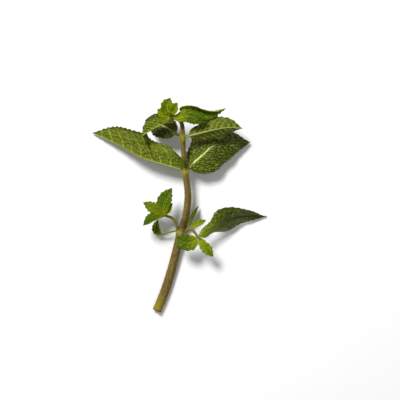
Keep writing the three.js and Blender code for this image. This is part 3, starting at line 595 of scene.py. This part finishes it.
def build_leaf(name, leaf, seed):
    points = np.array(leaf["midrib"], float)
    points[0] += leaf.get("inward", 0) * (nearest_on_stems(points[0]) - points[0])
    curve = Curve(points)
    finer = SMALL_LEAF_FINER if leaf["half_width"] < BIG_LEAF else 1
    rows = max(26, round(curve.length * ROWS_PER_MM * finer))
    half_columns = max(8, round(leaf["half_width"] * COLUMNS_PER_MM * finer))
    share = (np.arange(rows) / (rows - 1) * (1 - 0.35 / rows))[:, None]
    across = np.linspace(1, -1, 2 * half_columns + 1)[None, :]
    spread = np.sign(across) * np.abs(across) ** 0.9
    field = leaf_detail(leaf, curve, share, spread, seed)
    surface, face = blade_surface(leaf, curve, share, spread, field["teeth"])

    along_edge = np.gradient(surface, axis=0)
    across_edge = np.gradient(surface, axis=1)
    normal = np.cross(across_edge, along_edge)
    length = np.linalg.norm(normal, axis=-1, keepdims=True)
    normal = np.where(length > 1e-7, normal / np.maximum(length, 1e-9), face)

    surface = surface + normal * field["rise"][..., None]

    size = field["size"]
    stalk_share = 1 - smoothstep(share, leaf["stalk"], leaf["stalk"] + OPENING)
    edge = np.sqrt(np.clip(1 - spread**2, 0, 1))
    half = BLADE_HALF_THICKNESS * at_least(0.45, size) * (1 - spread**8)
    half = half * (1 - stalk_share) + STALK_HALF_THICKNESS * size * edge * stalk_share
    rib = leaf.get("rib", 0.4)
    under_extra = field["midrib"] * 0.55 * (1 - 0.7 * field["along"]) + 0.2 * field["secondary"]
    under_extra = (under_extra + 0.07 * field["net"]) * size * (1 - stalk_share) * (1 - spread**8)
    upper_extra = (0.4 * rib - 0.3) * field["midrib"] * size * (1 - stalk_share)
    upper_extra = upper_extra * (1 - 0.6 * field["along"])
    upper = surface + normal * (half + upper_extra)[..., None]
    under = surface - normal * (half + under_extra)[..., None]

    def ring_of(top, bottom):
        return np.concatenate([top, bottom[:, -2:0:-1]], axis=1)

    grid = ring_of(upper, under)
    rings, around = grid.shape[:2]
    ones = np.ones_like(field["dome"])
    masks = np.stack([0.7 * field["net"], field["dome"], np.abs(spread) * ones], -1)
    fresh = leaf.get("base", BASE_SHARE[leaf["age"]]) * ones
    fresh = np.stack([fresh, leaf.get("rib_end", 0.62) * ones, 0 * ones], -1)
    ribs = np.stack([field["midrib"], 0.8 * field["secondary"], rib * ones], -1)
    # the leaf's brightness setting, partly its own tone and partly painted light and shade
    tone_and_shade = leaf.get("tone_and_shade", 1.0) * ones
    along = np.clip(field["along"] - leaf.get("fresh", 0), 0, 1) * ones
    place_upper = np.stack([along, 0 * ones, tone_and_shade], -1)
    place_under = np.stack([along, ones, tone_and_shade], -1)
    sideways = spread * field["out"] / np.maximum(np.abs(spread), 1e-6)
    grain = np.stack([sideways, share * curve.length * ones, seed * ones], -1)

    joint = points[0]
    inside = joint + 0.75 * (nearest_on_stems(joint) - joint)
    steps = np.array([0.0, 0.45, 0.8])[:, None, None]
    collar = inside + (grid[:1] - joint) * 1.25
    collar = collar * (1 - steps) + grid[:1] * steps
    tip = curve.at(np.array([1.0]))
    tip = rest_on_table(tip, TABLE_CONTACT, TABLE_SOFTNESS)
    vertices = np.vstack([inside[None], collar.reshape(-1, 3), grid.reshape(-1, 3), tip])
    vertices = rest_on_table(vertices, LEAF_LOWEST, LEAF_LOWEST)

    def with_ends(values):
        ring = values[:1]
        collars = np.repeat(ring, 3, 0).reshape(-1, 3)
        return np.vstack([ring[0, :1], collars, values.reshape(-1, 3), values[-1, :1]])

    sides = {
        "masks": (masks, masks),
        "fresh": (fresh, fresh),
        "ribs": (ribs, ribs),
        "place": (place_upper, place_under),
        "grain": (grain, grain),
    }
    attributes = {label: with_ends(ring_of(*pair)) for label, pair in sides.items()}
    faces = loft_faces(rings + 3, around)
    slot = leaf["age"] + "_leaf"
    make_piece("mint_" + name, vertices, faces, attributes, MATERIALS[slot], name)


# ---------------------------------------------------------------- stems

STEM_AROUND = 72
STEM_ROWS_PER_MM = 4
CAP_RINGS = (0.3, 0.6, 0.82, 0.95)
HAIRS_PER_MM = 55
HAIR_MM = (0.35, 0.85)
HAIR_HALF_WIDTH = 0.045
TWIST_PER_MM = 0.006
GROOVE = 0.11
CUT_DISH = 0.12
CUT_SLANT = 0.16
NODE_RING = (0.16, 0.45)  # height and half width of the raised line at a node


def stem_hairs(rings, centres, tangents, rng, count):
    """Short hairs: bases of three points sunk in the surface, and tips that lean towards the stem's tip."""
    row = rng.integers(12, len(rings) - 2, count)
    column = rng.integers(0, rings.shape[1], count)
    base = rings[row, column]
    outward = unit(base - centres[row])
    lean = rng.normal(0, 0.35, (count, 3)) + tangents[row] * 0.3
    length = rng.uniform(*HAIR_MM, (count, 1))
    side = np.cross(outward, tangents[row])
    corners = []
    for turn in (0, 2.1, 4.2):
        spoke = side * math.cos(turn) + tangents[row] * math.sin(turn)
        corners.append(base - 0.05 * outward + HAIR_HALF_WIDTH * spoke)
    tips = base + unit(outward + lean) * length
    return np.stack(corners + [tips], 1)


def build_stem(name, stem, curve, slot, seed):
    rows = round(curve.length * STEM_ROWS_PER_MM)
    share = np.linspace(0, 1, rows)
    centres, tangents, up, left = stem_frame(curve, share)
    radius = stem_radius(stem, share, centres)[:, None]
    angle = 2 * np.pi * np.arange(STEM_AROUND) / STEM_AROUND
    along_mm = share[:, None] * curve.length
    around = angle[None, :] + 0.5 + TWIST_PER_MM * along_mm
    corner = (0.5 - 0.5 * np.cos(4 * around)) ** 2
    flat = np.clip(np.cos(4 * around), 0, 1) ** 2
    radius = radius * (squircle(around, SQUARENESS) * 0.98 - GROOVE * flat)
    lines = np.sin(22 * around + 0.6 * np.sin(along_mm * 0.25)) + 0.6 * np.sin(37 * around + 1.0)
    radius = radius * (1 + 0.012 * lines)
    near = np.zeros_like(along_mm)
    above = np.zeros_like(along_mm)
    for node in stem["nodes"]:
        away = np.linalg.norm(centres - np.array(node), axis=-1)[:, None]
        near = np.maximum(near, np.exp(-((away / 1.7) ** 2)))
        # a band just above each node, which the material darkens as painted shade from the node's leaves
        above = np.maximum(above, np.exp(-(((along_mm - along_mm[away.argmin()] - 5) / 3.2) ** 2)))
        radius = radius + NODE_RING[0] * np.exp(-((away / NODE_RING[1]) ** 2))
    circle = np.cos(angle)[None, :, None] * left[:, None] + np.sin(angle)[None, :, None] * up[:, None]
    rings = centres[:, None] + radius[..., None] * circle
    ones = np.ones_like(radius)
    cut = np.exp(-along_mm / 6.0) * ones
    grain = np.stack([along_mm * ones, np.cos(angle) * 2.2 * ones, np.sin(angle) * 2.2 * ones], -1)
    fields = {
        "masks": np.stack([near * ones, corner, cut], -1),
        "place": np.stack([share[:, None] * ones, 0 * ones, 0 * ones], -1),
        "ribs": np.stack([0 * ones, above * ones, 0 * ones], -1),
        "grain": grain,
    }

    # the cut end: its face slants a little and is slightly dished
    slant = (rings[0] - centres[0]) @ up[0]
    rings[0] = rings[0] + tangents[0] * (CUT_SLANT * slant)[:, None]
    dish = tangents[0] * CUT_DISH
    caps = [centres[0] + (rings[0] - centres[0]) * k + dish * (1 - k**2) for k in CAP_RINGS]
    grid = np.concatenate([caps, rings])
    end = centres[-1:] + tangents[-1:] * 0.3
    vertices = np.vstack([centres[:1] + dish, grid.reshape(-1, 3), end])
    faces = loft_faces(len(grid), STEM_AROUND)

    rng = np.random.default_rng(seed)
    count = round(curve.length * HAIRS_PER_MM * stem["radius"][0] / 2)
    hairs = stem_hairs(rings, centres, tangents, rng, count)
    first = len(vertices) + 4 * np.arange(len(hairs))
    for a, b in ((0, 1), (1, 2), (2, 0)):
        faces += np.stack([first + a, first + b, first + 3], -1).tolist()
    vertices = np.vstack([vertices, hairs.reshape(-1, 3)])
    vertices = rest_on_table(vertices, *STEM_LOWEST)

    attributes = {}
    for label, values in fields.items():
        cap = np.repeat(values[:1], len(CAP_RINGS), 0)
        if label == "place":
            cap[..., 1] = 1
            cap[..., 2] = np.array(CAP_RINGS)[:, None]
        both = np.concatenate([cap, values])
        tail = np.zeros((4 * len(hairs), 3))
        if label == "ribs":
            tail[:, 0] = 1
        attributes[label] = np.vstack([both[0, :1], both.reshape(-1, 3), both[-1, :1], tail])
    make_piece("mint_" + name, vertices, faces, attributes, MATERIALS[slot], name)


# ---------------------------------------------------------------- materials


class Nodes:
    """A few short ways to wire up a node material."""

    def __init__(self, name):
        self.material = bpy.data.materials.new(name)
        self.material.use_nodes = True
        self.tree = self.material.node_tree
        self.shader = self.tree.nodes["Principled BSDF"]

    def add(self, kind, **settings):
        made = self.tree.nodes.new(kind)
        for key, value in settings.items():
            setattr(made, key, value)
        return made

    def put(self, socket, value):
        if isinstance(value, bpy.types.NodeSocket):
            self.tree.links.new(value, socket)
        else:
            socket.default_value = value

    def split(self, attribute):
        source = self.add("ShaderNodeAttribute", attribute_name=attribute)
        parts = self.add("ShaderNodeSeparateXYZ")
        self.put(parts.inputs[0], source.outputs["Vector"])
        return parts.outputs[0], parts.outputs[1], parts.outputs[2]

    def vector(self, attribute):
        return self.add("ShaderNodeAttribute", attribute_name=attribute).outputs["Vector"]

    def math(self, operation, a, b):
        made = self.add("ShaderNodeMath", operation=operation)
        self.put(made.inputs[0], a)
        self.put(made.inputs[1], b)
        return made.outputs[0]

    def mix(self, factor, a, b):
        made = self.add("ShaderNodeMix", data_type="RGBA", clamp_factor=True)
        self.put(made.inputs["Factor"], factor)
        for socket, value in ((made.inputs[6], a), (made.inputs[7], b)):
            self.put(socket, value if isinstance(value, bpy.types.NodeSocket) else (*value, 1))
        return made.outputs[2]

    def blend(self, factor, a, b):
        made = self.add("ShaderNodeMix", data_type="FLOAT", clamp_factor=True)
        self.put(made.inputs["Factor"], factor)
        self.put(made.inputs[2], a)
        self.put(made.inputs[3], b)
        return made.outputs[0]

    def ramp(self, value, low, high):
        made = self.add("ShaderNodeMapRange", interpolation_type="SMOOTHSTEP", clamp=True)
        self.put(made.inputs["Value"], value)
        self.put(made.inputs["From Min"], low)
        self.put(made.inputs["From Max"], high)
        return made.outputs["Result"]

    def noise(self, vector, scale, detail=3.0, roughness=0.55):
        made = self.add("ShaderNodeTexNoise")
        self.put(made.inputs["Vector"], vector)
        self.put(made.inputs["Scale"], scale)
        self.put(made.inputs["Detail"], detail)
        self.put(made.inputs["Roughness"], roughness)
        return made.outputs["Fac"]

    def cells(self, vector, scale):
        made = self.add("ShaderNodeTexVoronoi", feature="DISTANCE_TO_EDGE")
        self.put(made.inputs["Vector"], vector)
        self.put(made.inputs["Scale"], scale)
        return made.outputs["Distance"]

    def scale(self, vector, factor):
        made = self.add("ShaderNodeVectorMath", operation="SCALE")
        self.put(made.inputs[0], vector)
        self.put(made.inputs["Scale"], factor)
        return made.outputs[0]

    def stretch(self, vector, scale):
        made = self.add("ShaderNodeVectorMath", operation="MULTIPLY")
        self.put(made.inputs[0], vector)
        self.put(made.inputs[1], scale)
        return made.outputs[0]

    def bump(self, height, distance, strength):
        made = self.add("ShaderNodeBump")
        self.put(made.inputs["Height"], height)
        self.put(made.inputs["Distance"], distance)
        self.put(made.inputs["Strength"], strength)
        return made.outputs["Normal"]


SHEEN_TINT = (1.0, 1.0, 0.35)  # the waxy surface's highlights are a little warm


def leaf_material(name, colours, rough, specular, translucent):
    n = Nodes(name)
    net, dome, edge = n.split("masks")
    midrib, secondary, rib = n.split("ribs")
    along, under, tone_and_shade = n.split("place")
    base_share, rib_end = n.split("fresh")[:2]
    grain = n.vector("grain")
    patch = n.noise(grain, 0.16, 3.0)
    speck = n.noise(grain, 2.6, 4.0, 0.6)
    pores = n.cells(grain, 1.5)

    # upper side: painted shade in the grooves between raised cells, a painted highlight on the cells' tops,
    # fresh green at the base and the margin
    upper = n.mix(n.ramp(dome, 0.15, 0.6), colours["groove_shade"], colours["upper"])
    # painted highlight: lighter patches on the tops of the raised cells
    raised = n.math("MULTIPLY", n.ramp(dome, 0.5, 0.9), n.ramp(patch, 0.35, 0.65))
    upper = n.mix(raised, upper, colours["raised"])
    upper = n.mix(n.math("MULTIPLY", secondary, 0.35), upper, colours["vein"])
    upper = n.mix(n.math("MULTIPLY", n.ramp(edge, 0.94, 1.0), 0.6), upper, colours["margin"])
    fresh = n.math("MULTIPLY", n.math("SUBTRACT", 1.0, n.ramp(along, 0.02, 0.42)), base_share)
    upper = n.mix(fresh, upper, colours["base"])
    past = n.ramp(n.math("SUBTRACT", along, rib_end), -0.12, 0.08)
    fading = n.math("SUBTRACT", 1.0, n.math("MULTIPLY", past, 0.88))
    shown = n.math("MULTIPLY", n.math("MULTIPLY", midrib, rib), n.ramp(along, 0.04, 0.13))
    upper = n.mix(n.math("MULTIPLY", shown, fading), upper, colours["rib"])

    # under side: paler and flatter, with raised light veins and painted shade in the sunken middles of its
    # cells
    below = n.mix(n.ramp(patch, 0.3, 0.7), colours["under_deep"], colours["under"])
    below = n.mix(n.math("MULTIPLY", n.ramp(dome, 0.1, 0.6), 0.3), below, colours["under_hollow_shade"])
    large = n.math("MAXIMUM", n.math("MULTIPLY", secondary, 1.25), midrib)
    veins = n.math("MAXIMUM", n.math("MULTIPLY", net, 0.75), large)
    below = n.mix(n.ramp(veins, 0.15, 0.85), below, colours["under_vein"])
    below = n.mix(n.math("MULTIPLY", n.ramp(midrib, 0.45, 0.8), 0.9), below, colours["under_rib"])
    below = n.mix(n.math("MULTIPLY", n.ramp(edge, 0.95, 1.0), 0.5), below, colours["margin"])

    colour = n.mix(under, upper, below)
    # speckle times the leaf's brightness setting, which carries painted light and shade for each leaf
    shade = n.math("MULTIPLY", n.math("ADD", n.math("MULTIPLY", speck, 0.6), 0.7), tone_and_shade)
    n.put(n.shader.inputs["Base Color"], n.scale(colour, shade))

    gloss = n.blend(n.math("MULTIPLY", speck, 0.5), rough, rough + 0.25)
    n.put(n.shader.inputs["Roughness"], n.blend(under, gloss, 0.62))
    height = n.math("ADD", n.math("MULTIPLY", n.ramp(pores, 0.0, 0.25), 0.7), n.math("MULTIPLY", speck, 0.8))
    n.put(n.shader.inputs["Normal"], n.bump(height, 0.00008, 0.6))
    n.put(n.shader.inputs["Subsurface Weight"], translucent)
    n.put(n.shader.inputs["Subsurface Radius"], (0.6, 1.0, 0.1))
    n.put(n.shader.inputs["Subsurface Scale"], 0.0005)
    n.put(n.shader.inputs["Specular IOR Level"], specular)
    n.put(n.shader.inputs["Specular Tint"], (*SHEEN_TINT, 1))
    return n.material


def stem_material(name, colours):
    n = Nodes(name)
    node, corner, cut = n.split("masks")
    along, cap, cap_radius = n.split("place")
    hair, above = n.split("ribs")[:2]
    grain = n.vector("grain")
    leftward = n.split("grain")[1]
    streak = n.noise(n.stretch(grain, (0.16, 1.5, 1.5)), 1.0, 4.0, 0.6)
    fine = n.noise(n.stretch(grain, (0.3, 2.4, 2.4)), 1.0, 4.0, 0.65)
    blotch = n.noise(grain, 0.3, 3.0)
    down = n.noise(n.stretch(grain, (1.1, 1.9, 1.9)), 1.0, 5.0, 0.7)

    # a purplish strip on the left and an olive one on the right, broken into streaks
    side = n.math("ADD", n.math("MULTIPLY", leftward, 0.2), streak)
    body = n.mix(n.ramp(side, 0.32, 0.78), colours["olive"], colours["purple"])
    # browner below the second node than above it
    lower = n.math("SUBTRACT", 1.0, n.ramp(along, 0.60, 0.74))
    body = n.mix(n.math("MULTIPLY", lower, 0.6), body, colours["brown"])
    body = n.mix(n.math("MULTIPLY", n.ramp(corner, 0.3, 1.0), 0.35), body, colours["edge"])
    body = n.mix(n.math("MULTIPLY", n.ramp(blotch, 0.5, 0.75), 0.5), body, colours["ochre"])
    body = n.mix(n.math("MULTIPLY", n.ramp(fine, 0.46, 0.62), 0.85), body, colours["dark"])
    body = n.mix(n.math("MULTIPLY", n.ramp(down, 0.52, 0.64), 0.6), body, colours["hair"])
    # painted shade: darker streaks just above each node, where the node's leaves shade the stem
    body = n.mix(n.math("MULTIPLY", above, n.ramp(streak, 0.35, 0.6)), body, colours["dark"])
    at_node = n.math("MULTIPLY", n.math("MULTIPLY", node, 0.8), n.ramp(blotch, 0.25, 0.5))
    body = n.mix(at_node, body, colours["node"])
    body = n.mix(n.math("MULTIPLY", n.ramp(cut, 0.1, 0.6), 0.7), body, colours["fresh"])
    body = n.mix(n.ramp(cut, 0.86, 0.94), body, colours["rim"])
    face = n.mix(n.ramp(cap_radius, 0.55, 0.95), colours["pith"], colours["rim"])
    body = n.mix(cap, body, face)
    n.put(n.shader.inputs["Base Color"], n.mix(hair, body, colours["hair"]))
    n.put(n.shader.inputs["Roughness"], n.blend(fine, 0.42, 0.66))
    height = n.math("ADD", n.math("MULTIPLY", fine, 1.0), n.math("MULTIPLY", down, 0.5))
    n.put(n.shader.inputs["Normal"], n.bump(height, 0.00018, 0.7))
    n.put(n.shader.inputs["Subsurface Weight"], 0.05)
    n.put(n.shader.inputs["Subsurface Radius"], (1.0, 0.6, 0.25))
    n.put(n.shader.inputs["Subsurface Scale"], 0.0006)
    n.put(n.shader.inputs["Specular IOR Level"], 0.15)
    n.put(n.shader.inputs["Specular Tint"], (*SHEEN_TINT, 1))
    return n.material


# In each leaf palette below, the groove colour is painted shade in the grooves between the upper side's raised
# cells, the raised colour is a painted highlight on their tops, and the under side's darker cell colour is
# painted shade in its sunken cells.
MATURE = {
    "groove_shade": (0.007, 0.016, 0.001), "upper": (0.058, 0.094, 0.004), "raised": (0.125, 0.165, 0.022),
    "vein": (0.085, 0.120, 0.006), "margin": (0.10, 0.15, 0.004), "base": (0.135, 0.185, 0.003),
    "under_deep": (0.072, 0.106, 0.002), "under": (0.098, 0.138, 0.003), "under_hollow_shade": (0.055, 0.084, 0.001),
    "under_vein": (0.240, 0.290, 0.035), "rib": (0.48, 0.52, 0.17), "under_rib": (0.40, 0.43, 0.15),
}
MIDDLE = {
    "groove_shade": (0.034, 0.066, 0.001), "upper": (0.092, 0.158, 0.003), "raised": (0.125, 0.205, 0.008),
    "vein": (0.135, 0.205, 0.008), "margin": (0.15, 0.22, 0.006), "base": (0.20, 0.245, 0.003),
    "under_deep": (0.075, 0.112, 0.002), "under": (0.104, 0.148, 0.003), "under_hollow_shade": (0.058, 0.088, 0.001),
    "under_vein": (0.240, 0.290, 0.035), "rib": (0.33, 0.39, 0.06), "under_rib": (0.42, 0.45, 0.17),
}
YOUNG = {
    "groove_shade": (0.095, 0.145, 0.001), "upper": (0.185, 0.260, 0.003), "raised": (0.225, 0.300, 0.008),
    "vein": (0.18, 0.245, 0.008), "margin": (0.18, 0.25, 0.006), "base": (0.25, 0.265, 0.003),
    "under_deep": (0.12, 0.175, 0.002), "under": (0.15, 0.21, 0.003), "under_hollow_shade": (0.10, 0.15, 0.002),
    "under_vein": (0.25, 0.31, 0.03), "rib": (0.42, 0.46, 0.08), "under_rib": (0.30, 0.35, 0.05),
}
STEM = {
    "olive": (0.130, 0.105, 0.008), "purple": (0.165, 0.103, 0.038), "brown": (0.125, 0.062, 0.012),
    "edge": (0.23, 0.165, 0.055), "ochre": (0.225, 0.165, 0.012), "dark": (0.034, 0.020, 0.004),
    "hair": (0.36, 0.33, 0.13), "node": (0.29, 0.25, 0.04),
    "fresh": (0.250, 0.205, 0.012), "rim": (0.07, 0.042, 0.010), "pith": (0.36, 0.33, 0.12),
}
SHOOT = dict(
    STEM, olive=(0.14, 0.10, 0.035), purple=(0.14, 0.085, 0.055), brown=(0.14, 0.088, 0.05),
    fresh=(0.20, 0.17, 0.03), rim=(0.12, 0.1, 0.03),
)

MATERIALS = {
    "mature_leaf": leaf_material("mature_leaf_surface", MATURE, 0.25, 0.45, 0.04),
    "middle_leaf": leaf_material("middle_leaf_surface", MIDDLE, 0.33, 0.17, 0.08),
    "young_leaf": leaf_material("young_leaf_surface", YOUNG, 0.38, 0.13, 0.12),
    "stem": stem_material("stem_surface", STEM),
    "shoot_stem": stem_material("shoot_stem_surface", SHOOT),
}

# ---------------------------------------------------------------- the studio

VIEW_HEIGHT = 0.70
VIEW_WIDTH = 0.22
VIEW_CENTRE = (0.0112, 0.0037)
SENSOR_MM = 36
TABLE_HALF = 6.0
LIGHT_COLOUR = (1.0, 0.98, 0.93)


def add_camera():
    data = bpy.data.cameras.new("camera")
    data.sensor_width = SENSOR_MM
    data.lens = SENSOR_MM * VIEW_HEIGHT / VIEW_WIDTH
    data.clip_start = 0.01
    camera = bpy.data.objects.new("camera", data)
    camera.location = (*VIEW_CENTRE, VIEW_HEIGHT)
    bpy.context.scene.collection.objects.link(camera)
    bpy.context.scene.camera = camera


def add_light(name, place, size, watts):
    data = bpy.data.lights.new(name, "AREA")
    data.shape = "DISK"
    data.size = size
    data.energy = watts
    data.color = LIGHT_COLOUR
    light = bpy.data.objects.new(name, data)
    light.location = place
    direction = -light.location
    light.rotation_euler = direction.to_track_quat("-Z", "Y").to_euler()
    bpy.context.scene.collection.objects.link(light)


def add_floor():
    mesh = bpy.data.meshes.new("table")
    half = TABLE_HALF
    corners = [(-half, -half, 0), (half, -half, 0), (half, half, 0), (-half, half, 0)]
    mesh.from_pydata(corners, [], [(0, 1, 2, 3)])
    n = Nodes("pale_table")
    coordinates = n.add("ShaderNodeTexCoord").outputs["Object"]
    colour = n.mix(n.noise(coordinates, 30.0), (0.82, 0.835, 0.90), (0.84, 0.855, 0.92))
    n.put(n.shader.inputs["Base Color"], colour)
    n.put(n.shader.inputs["Roughness"], 0.8)
    mesh.materials.append(n.material)
    table = bpy.data.objects.new("table", mesh)
    bpy.context.scene.collection.objects.link(table)


def add_world():
    world = bpy.data.worlds.new("studio")
    world.use_nodes = True
    background = world.node_tree.nodes["Background"]
    background.inputs["Color"].default_value = (1.0, 0.98, 0.9, 1)
    background.inputs["Strength"].default_value = 0.36
    bpy.context.scene.world = world


add_camera()
add_world()
add_floor()
add_light("key_light", (-0.3, 0.48, 0.74), 0.32, 10.6)
add_light("fill_light", (0.7, -0.2, 0.8), 0.8, 1.1)
bpy.context.scene.view_settings.view_transform = "Standard"

STEM_CURVES = {name: Curve(stem["axis"]) for name, stem in STEMS.items()}
for number, (name, stem) in enumerate(STEMS.items()):
    build_stem(name, stem, STEM_CURVES[name], "stem" if name == "main_stem" else "shoot_stem", number + 1)
for number, (name, leaf) in enumerate(LEAVES.items()):
    build_leaf(name, leaf, number + 1)
